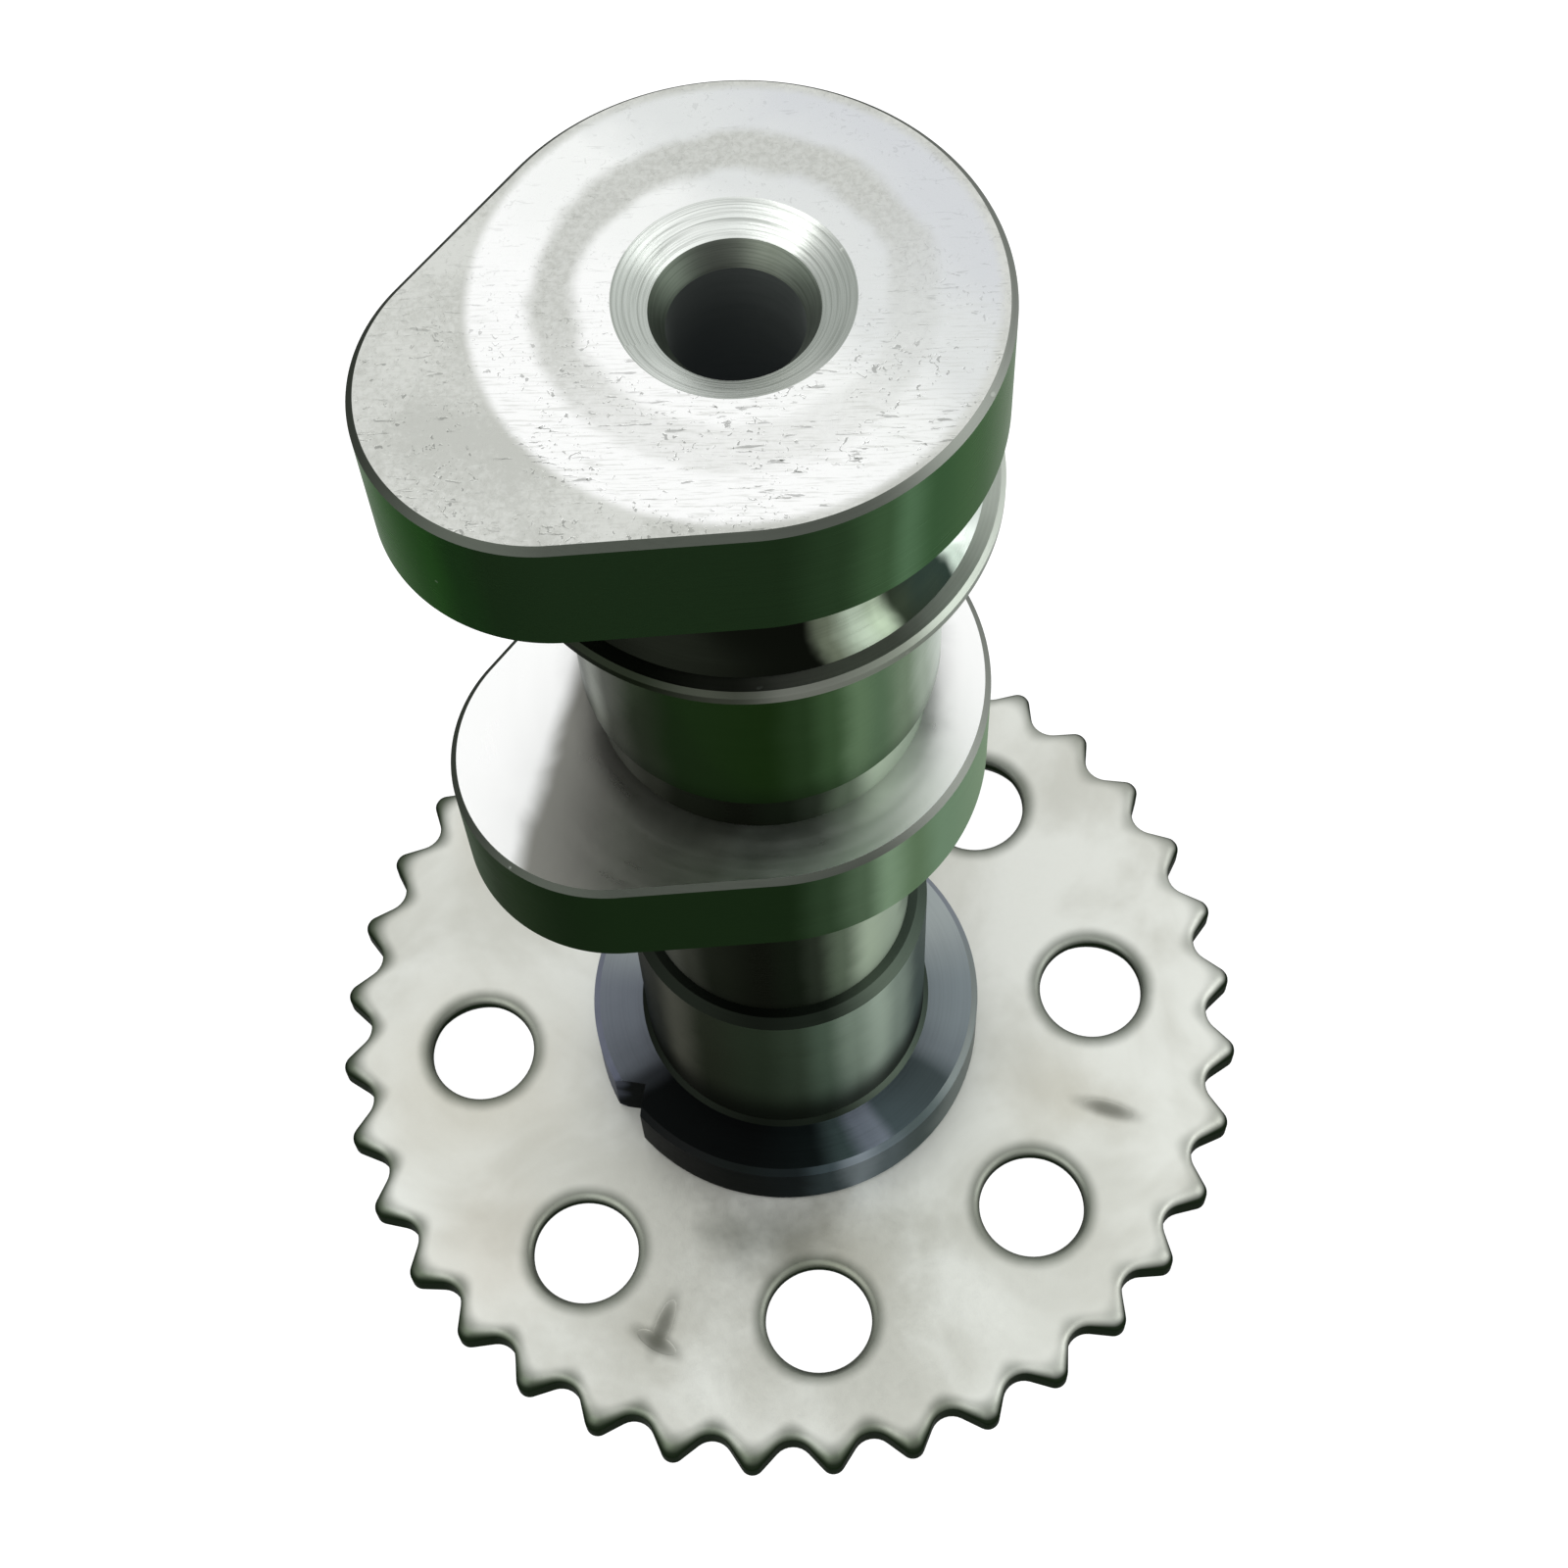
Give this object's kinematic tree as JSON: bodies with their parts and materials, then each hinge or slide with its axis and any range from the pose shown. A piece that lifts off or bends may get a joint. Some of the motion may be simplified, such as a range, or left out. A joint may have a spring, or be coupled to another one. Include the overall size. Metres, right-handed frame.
{
  "type": "camshaft with chain sprocket",
  "caption": "Short hollow camshaft with cam lobes of one timing, bearing journals, a collar and a flange, pressed into a toothed chain sprocket with lightening holes.",
  "frame": {"origin": "on the shaft's axis, in the plane of the sprocket's underside", "axes": "+Z along the shaft's axis, from the sprocket towards the free end; both cam noses point to -X"},
  "size_m": [0.074, 0.074, 0.1031],
  "materials": {
    "ground_steel": "ground and polished lobes and journals, blue-black flange",
    "plate_steel": "satin, tumbled and lightly mottled"
  },
  "bodies": {
    "root": {"camshaft": "ground_steel", "chain_sprocket": "plate_steel"}
  },
  "joints": []
}
